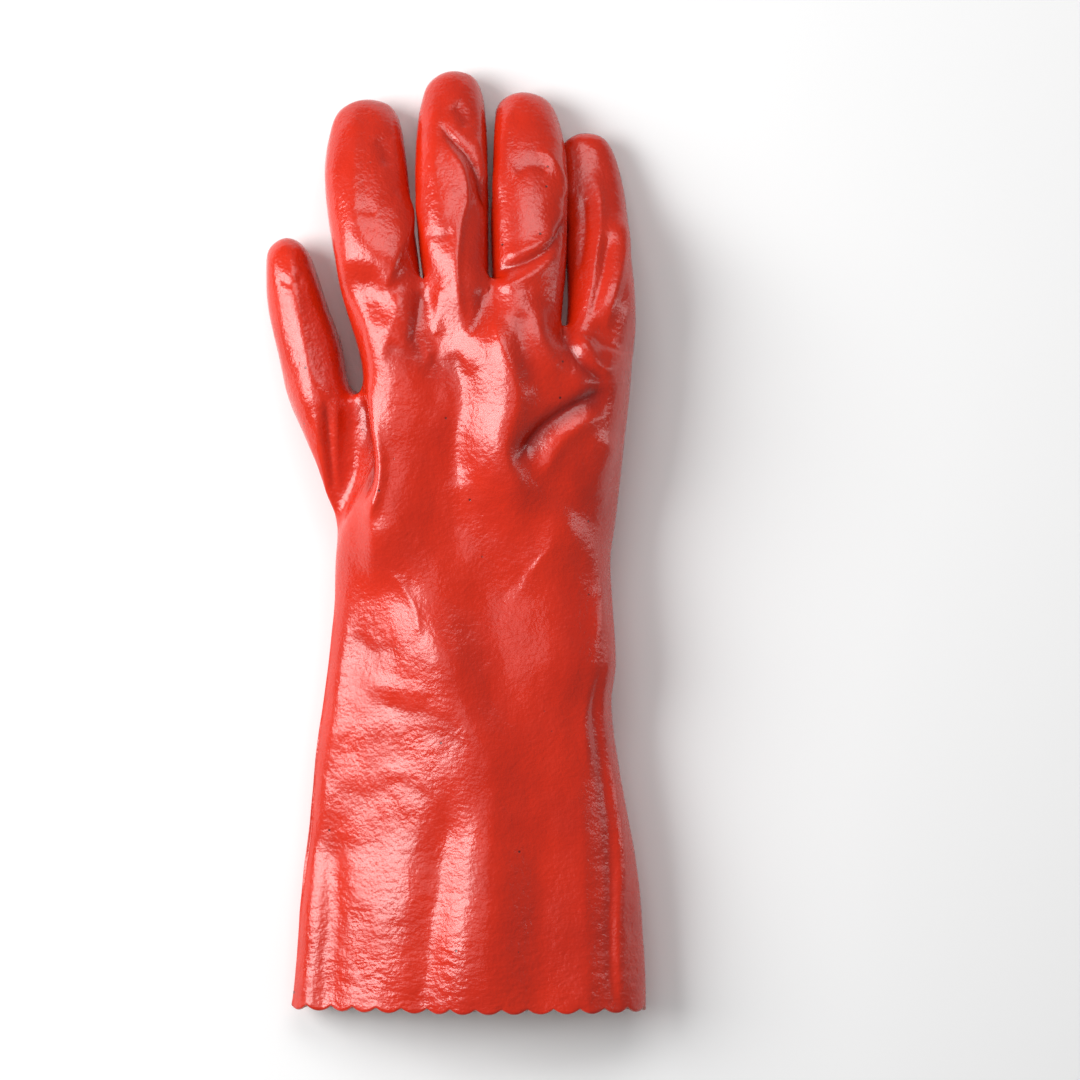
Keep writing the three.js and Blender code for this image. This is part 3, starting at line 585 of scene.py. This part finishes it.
def buildGlove():
    points, quads, webs = buildCage()
    levels = smoothSkin(points, quads)
    roughCount, roughQuads = len(levels[1][0]), levels[1][1]
    quads = levels[2][1]
    points, fineQuads = levels[3]
    points = partFingers(points, fineQuads, webs)
    hemY = perMetre * cadCorners[0][1]
    middle = perMetre * (cadCorners[0][0] + cadCorners[1][0]) / 2
    shift = [middle - (points[:, 0].min() + points[:, 0].max()) / 2, hemY + glove["cuffLength"], 0]
    points += shift
    webs = webs + shift
    print("skin smoothed:", len(fineQuads), "faces at its finest, set off by", np.round(shift, 2))

    normals = normalsOf(points, fineQuads)
    lift = np.zeros(len(points))
    rise = np.zeros(len(points))
    detail = np.zeros(len(points))
    crease = np.zeros(len(points))
    plan = points[:, :2].copy()
    for fold in folds:
        facing = -normals[:, 2] if fold.get("kind") == "palm" else normals[:, 2]
        move = foldLift(fold, plan, facing)
        if fold.get("kind") == "up":
            rise += move
        else:
            lift += move
        narrow = min(fold["left"], fold["right"])
        detail += np.abs(move) / narrow**2
        crease += move * (narrow < foldEdges["narrow"])
    # painted shade: narrow creases are marked to be darker in the coating's colour, deeper ones more
    paintedCreaseShade = np.clip(-crease / foldEdges["paintedShadeDepth"], 0, foldEdges["paintedShadeMost"])
    points += normals * (lift + swellLift(points))[:, None]
    points[:, 2] += rise
    order = np.argsort(-detail[quads].mean(axis=1))
    chosen = np.zeros(len(quads), dtype=bool)
    chosen[order[: glove["finerFaces"]]] = True
    chosen |= points[quads][:, :, 1].min(axis=1) < hemY + hem["splitWithin"]
    faces = mixedFaces(fineQuads, chosen)
    loop = hemLoop(faces)
    points = pinkHem(points, loop, hemY)
    points[:, 2] = np.maximum(points[:, 2], 0)
    print("folds pressed:", len(folds), "with", int(chosen.sum()), "faces split")

    # the knit side of the wall is a coarser copy of the skin, set off inwards
    normals = normalsOf(points, fineQuads)
    inwards = normals[:roughCount].copy()
    roughPoints = points[:roughCount]
    toWeb = np.min([np.hypot(*(roughPoints[:, :2] - web[:2]).T) for web in webs], axis=0)
    inwards[:, 1] += liner["webPull"] * np.maximum(1 - toWeb / liner["webReach"], 0)
    inwards /= np.linalg.norm(inwards, axis=1, keepdims=True)
    inner = roughPoints - inwards * glove["wall"]
    inner[:, 2] = np.maximum(inner[:, 2], glove["wall"])
    innerLoop = [i for i in loop if i < roughCount]
    inner[innerLoop, 1] = points[innerLoop, 1]

    # cut edge: two rings between the skin and the knit, a little proud
    outwards = normals[loop].copy()
    outwards[:, 1] = 0
    outwards /= np.linalg.norm(outwards, axis=1, keepdims=True)
    cut = []
    for share in hem["rings"]:
        ring = points[loop] - outwards * share * glove["wall"]
        ring[:, 1] -= hem["roundness"]
        ring[:, 2] = np.maximum(ring[:, 2], hem["ringLowest"])
        cut.append(ring)
    count = len(points)
    firstRing, secondRing = count + roughCount, count + roughCount + len(loop)
    allPoints = np.concatenate([points, inner, *cut]) / perMetre
    materials = [0] * len(faces)
    faces += [tuple(i + count for i in reversed(q)) for q in roughQuads.tolist()]
    materials += [1] * len(roughQuads)
    skip = len(loop) // len(innerLoop)
    start = loop.index(innerLoop[0])
    for i in range(len(loop)):
        j = (i + 1) % len(loop)
        faces.append((loop[j], loop[i], firstRing + i, firstRing + j))
        faces.append((firstRing + j, firstRing + i, secondRing + i, secondRing + j))
        materials += [2, 2]
    for k, a in enumerate(innerLoop):
        b = innerLoop[(k + 1) % len(innerLoop)]
        along = [secondRing + (start + k * skip + i) % len(loop) for i in range(skip, -1, -1)]
        faces.append((*along, a + count, b + count))
        materials.append(1)

    used = np.unique(np.concatenate([np.array(f) for f in faces]))
    renumber = np.zeros(len(allPoints), dtype=int)
    renumber[used] = np.arange(len(used))
    renumber = renumber.tolist()
    mesh = bpy.data.meshes.new("glove")
    mesh.from_pydata(allPoints[used].tolist(), [], [tuple(renumber[i] for i in f) for f in faces])
    mesh.polygons.foreach_set("material_index", materials)
    mesh.polygons.foreach_set("use_smooth", [True] * len(faces))
    # the painted crease shade is kept on the skin's points for the coating's material
    depth = mesh.attributes.new("paintedCreaseShade", "FLOAT", "POINT")
    depth.data.foreach_set("value", np.concatenate([paintedCreaseShade, np.zeros(len(allPoints) - count)])[used])
    mesh.update()
    made = bpy.data.objects.new("glove", mesh)
    bpy.context.scene.collection.objects.link(made)
    print("glove built:", sum(len(f) - 2 for f in faces), "triangles")
    return made


def hexColour(code):
    channels = [int(code[i : i + 2], 16) / 255 for i in (1, 3, 5)]
    return [c / 12.92 if c <= 0.04045 else ((c + 0.055) / 1.055) ** 2.4 for c in channels] + [1]


# adds one node: settings are its own attributes, inputs its sockets' values or the sockets linked to them
def addNode(tree, kind, inputs=None, **settings):
    made = tree.nodes.new(kind)
    for name, value in settings.items():
        setattr(made, name, value)
    for name, value in (inputs or {}).items():
        if isinstance(value, bpy.types.NodeSocket):
            tree.links.new(value, made.inputs[name])
        else:
            made.inputs[name].default_value = value
    return made


# a mix of two colours; its sockets go by number, because three of each name exist
def mixColours(tree, share, low, high):
    return addNode(tree, "ShaderNodeMix", {0: share, 6: low, 7: high}, data_type="RGBA").outputs[2]


def newMaterial(name):
    material = bpy.data.materials.new(name)
    material.use_nodes = True
    material.node_tree.nodes.clear()
    return material, material.node_tree


# Plasticised PVC, dipped over a knitted liner and cured: opaque full red with a wet gloss. The liner's loops
# show through the thin coat as fine grain, and small pin-holes and specks are left from the dip.
dippedPvc = {
    "red": "#cb2507",
    "deepRed": "#c02107",
    # the dark red of the painted shade in creases
    "paintedCreaseShadeRed": "#6e0808",
    "speckRed": "#5c100c",
    "ior": 1.53,
    "roughness": 0.24,
    "roughnessSpread": (-0.05, 0.07),
    "roughnessSize": 0.012,
    "coatWeight": 0.2,
    "coatRoughness": 0.1,
    "mottleSize": 0.03,
    "mottleRange": (0.35, 0.65),
    "grainSize": 0.0016,  # the liner's loops
    "grainHeight": 0.0002,
    "orangePeelSize": 0.006,
    "orangePeelHeight": 0.0003,
    "crepeSize": 0.0034,  # cross wrinkles, strongest near the hem
    "crepeHeight": 0.00042,
    "crepeStretch": (0.45, 1.0, 0.6),
    "crepeWay": (-0.1, -0.19),  # where along the cuff it begins and is strongest
    "speckPitch": 0.013,
    "speckSize": 0.00035,
    "pinHoleDepth": 0.0001,
}


def dippedPvcMaterial():
    material, tree = newMaterial("dipped PVC coating")
    made = dippedPvc
    spot = addNode(tree, "ShaderNodeTexCoord").outputs["Object"]

    def noiseAt(size, detail, place=spot):
        settings = {"Vector": place, "Scale": 1 / size, "Detail": detail, "Roughness": 0.55}
        return addNode(tree, "ShaderNodeTexNoise", settings).outputs["Fac"]

    def spread(value, low, high, first=0.0, last=1.0):
        inputs = {"Value": value, "From Min": low, "From Max": high, "To Min": first, "To Max": last}
        return addNode(tree, "ShaderNodeMapRange", inputs, clamp=True).outputs["Result"]

    mottle = spread(noiseAt(made["mottleSize"], 4.0), *made["mottleRange"])
    colour = mixColours(tree, mottle, hexColour(made["red"]), hexColour(made["deepRed"]))
    # painted shade: the coating's colour is mixed towards a dark red in narrow creases
    paintedCreaseShade = addNode(tree, "ShaderNodeAttribute", attribute_name="paintedCreaseShade").outputs["Fac"]
    colour = mixColours(tree, paintedCreaseShade, colour, hexColour(made["paintedCreaseShadeRed"]))
    cells = addNode(tree, "ShaderNodeTexVoronoi", {"Vector": spot, "Scale": 1 / made["speckPitch"]})
    speckShare = made["speckSize"] / made["speckPitch"]
    specks = spread(cells.outputs["Distance"], speckShare, 2 * speckShare, 1.0, 0.0)
    colour = mixColours(tree, specks, colour, hexColour(made["speckRed"]))

    along = addNode(tree, "ShaderNodeSeparateXYZ", {"Vector": spot}).outputs["Y"]
    nearHem = spread(along, *made["crepeWay"])
    inputs = {0: spot, 1: made["crepeStretch"]}
    crepeSpot = addNode(tree, "ShaderNodeVectorMath", inputs, operation="MULTIPLY").outputs[0]
    crepe = noiseAt(made["crepeSize"], 2.0, crepeSpot)
    crepeNow = addNode(tree, "ShaderNodeMath", {0: crepe, 1: nearHem}, operation="MULTIPLY").outputs[0]
    normal = addNode(tree, "ShaderNodeBump", {"Height": crepeNow, "Distance": made["crepeHeight"]}).outputs[0]
    for name in ("orangePeel", "grain"):
        height = noiseAt(made[name + "Size"], 1.0)
        inputs = {"Height": height, "Distance": made[name + "Height"], "Normal": normal}
        normal = addNode(tree, "ShaderNodeBump", inputs).outputs[0]
    pit = {"Height": specks, "Distance": made["pinHoleDepth"], "Normal": normal}
    normal = addNode(tree, "ShaderNodeBump", pit, invert=True).outputs[0]
    limits = [made["roughness"] + change for change in made["roughnessSpread"]]
    roughness = spread(noiseAt(made["roughnessSize"], 3.0), 0.3, 0.7, *limits)
    shader = addNode(tree, "ShaderNodeBsdfPrincipled", {
        "Base Color": colour, "Roughness": roughness, "IOR": made["ior"], "Normal": normal,
        "Coat Weight": made["coatWeight"], "Coat Roughness": made["coatRoughness"], "Coat IOR": 1.5,
    })
    addNode(tree, "ShaderNodeOutputMaterial", {"Surface": shader.outputs[0]})
    return material


# Cotton interlock, knitted: matt and off-white, stained pink where the PVC has soaked through its loops.
knittedCotton = {
    "cotton": "#d9c4b8",
    "stain": "#c4786a",
    "stainScale": 60.0,  # patches for each metre
    "loopWidth": 0.0013,
    "loopLength": 0.0016,
    "loopHeight": 0.00035,
}


def knittedCottonMaterial():
    material, tree = newMaterial("knitted cotton liner")
    made = knittedCotton
    spot = addNode(tree, "ShaderNodeTexCoord").outputs["Object"]
    inputs = {"Vector": spot, "Scale": made["stainScale"], "Detail": 5.0}
    stain = addNode(tree, "ShaderNodeTexNoise", inputs).outputs["Fac"]
    colour = mixColours(tree, stain, hexColour(made["cotton"]), hexColour(made["stain"]))
    scale = (1 / made["loopWidth"], 1 / made["loopLength"], 1 / made["loopWidth"])
    place = addNode(tree, "ShaderNodeVectorMath", {0: spot, 1: scale}, operation="MULTIPLY").outputs[0]
    loops = addNode(tree, "ShaderNodeTexVoronoi", {"Vector": place, "Scale": 1.0}).outputs["Distance"]
    inputs = {"Height": loops, "Distance": made["loopHeight"]}
    normal = addNode(tree, "ShaderNodeBump", inputs, invert=True).outputs[0]
    shader = addNode(tree, "ShaderNodeBsdfPrincipled", {
        "Base Color": colour, "Roughness": 0.9, "Normal": normal, "Sheen Weight": 0.3, "Sheen Roughness": 0.5,
    })
    addNode(tree, "ShaderNodeOutputMaterial", {"Surface": shader.outputs[0]})
    return material


# The cut through coating and liner: satin red PVC with cotton fibres standing in it.
cutEdge = {"pvc": "#b3281d", "fibre": "#c98a7c", "fibreSize": 0.0009, "fibreHeight": 0.0002}


def cutEdgeMaterial():
    material, tree = newMaterial("cut edge of the dipped fabric")
    spot = addNode(tree, "ShaderNodeTexCoord").outputs["Object"]
    inputs = {"Vector": spot, "Scale": 1 / cutEdge["fibreSize"], "Detail": 3.0}
    fibres = addNode(tree, "ShaderNodeTexNoise", inputs).outputs["Fac"]
    colour = mixColours(tree, fibres, hexColour(cutEdge["pvc"]), hexColour(cutEdge["fibre"]))
    normal = addNode(tree, "ShaderNodeBump", {"Height": fibres, "Distance": cutEdge["fibreHeight"]}).outputs[0]
    inputs = {"Base Color": colour, "Roughness": 0.55, "Normal": normal}
    shader = addNode(tree, "ShaderNodeBsdfPrincipled", inputs)
    addNode(tree, "ShaderNodeOutputMaterial", {"Surface": shader.outputs[0]})
    return material


studio = {
    "floorColour": "#f2f2f2",
    "floorReach": 3,
    "floorDrop": 0.0003,  # keeps the floor just clear of the glove
    "surround": 0.24,  # white walls and ceiling, as the share of light they give back
    "lights": [  # place in metres from the glove's middle, which they all face, size, watts
        dict(name="left softbox", place=(-1.0, 0.21, 0.85), size=(0.8, 0.95), power=20),
        dict(name="left panel", place=(-0.75, 0.0, 1.5), size=(0.5, 1.6), power=2.6),
        dict(name="right strip", place=(1.3, 0.1, 0.3), size=(0.14, 1.3), power=2),
        dict(name="top fill", place=(0.1, 1.0, 1.3), size=(1.2, 0.7), power=8),
    ],
    "cameraHeight": 2.4,
    "cameraPlace": (0.0359, 0.0),
    "fieldOfView": 0.4616,  # metres across the picture at the height of the glove's edges
    "edgeHeight": 0.013,
    "sensorWidth": 36,
}


def floorMaterial():
    material, tree = newMaterial("matt white paper")
    inputs = {"Base Color": hexColour(studio["floorColour"]), "Roughness": 0.85}
    shader = addNode(tree, "ShaderNodeBsdfPrincipled", inputs)
    addNode(tree, "ShaderNodeOutputMaterial", {"Surface": shader.outputs[0]})
    return material


def buildStudio():
    mesh = bpy.data.meshes.new("floor")
    reach = studio["floorReach"]
    corners = [(-reach, -reach, 0), (reach, -reach, 0), (reach, reach, 0), (-reach, reach, 0)]
    mesh.from_pydata(corners, [], [(0, 1, 2, 3)])
    floor = bpy.data.objects.new("floor", mesh)
    floor.location.z = -studio["floorDrop"]
    floor.data.materials.append(floorMaterial())
    bpy.context.scene.collection.objects.link(floor)
    for light in studio["lights"]:
        data = bpy.data.lights.new(light["name"], "AREA")
        data.shape = "RECTANGLE"
        data.size, data.size_y = light["size"]
        data.energy = light["power"]
        lamp = bpy.data.objects.new(light["name"], data)
        lamp.location = light["place"]
        aim = Vector() - Vector(light["place"])
        lamp.rotation_euler = aim.to_track_quat("-Z", "Y").to_euler()
        bpy.context.scene.collection.objects.link(lamp)
    world = bpy.data.worlds.new("studio")
    world.use_nodes = True
    sky = world.node_tree.nodes["Background"]
    sky.inputs["Color"].default_value = (1, 1, 1, 1)
    sky.inputs["Strength"].default_value = studio["surround"]
    bpy.context.scene.world = world
    data = bpy.data.cameras.new("camera")
    data.sensor_width = studio["sensorWidth"]
    distance = studio["cameraHeight"] - studio["edgeHeight"]
    data.lens = studio["sensorWidth"] * distance / studio["fieldOfView"]
    camera = bpy.data.objects.new("camera", data)
    camera.location = (*studio["cameraPlace"], studio["cameraHeight"])
    bpy.context.scene.collection.objects.link(camera)
    bpy.context.scene.camera = camera
    bpy.context.scene.view_settings.view_transform = "Standard"


gloveObject = buildGlove()
for material in (dippedPvcMaterial(), knittedCottonMaterial(), cutEdgeMaterial()):
    gloveObject.data.materials.append(material)
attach(gloveObject, "root")
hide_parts("glove_shell")
print("materials made")

buildStudio()
print("studio set")
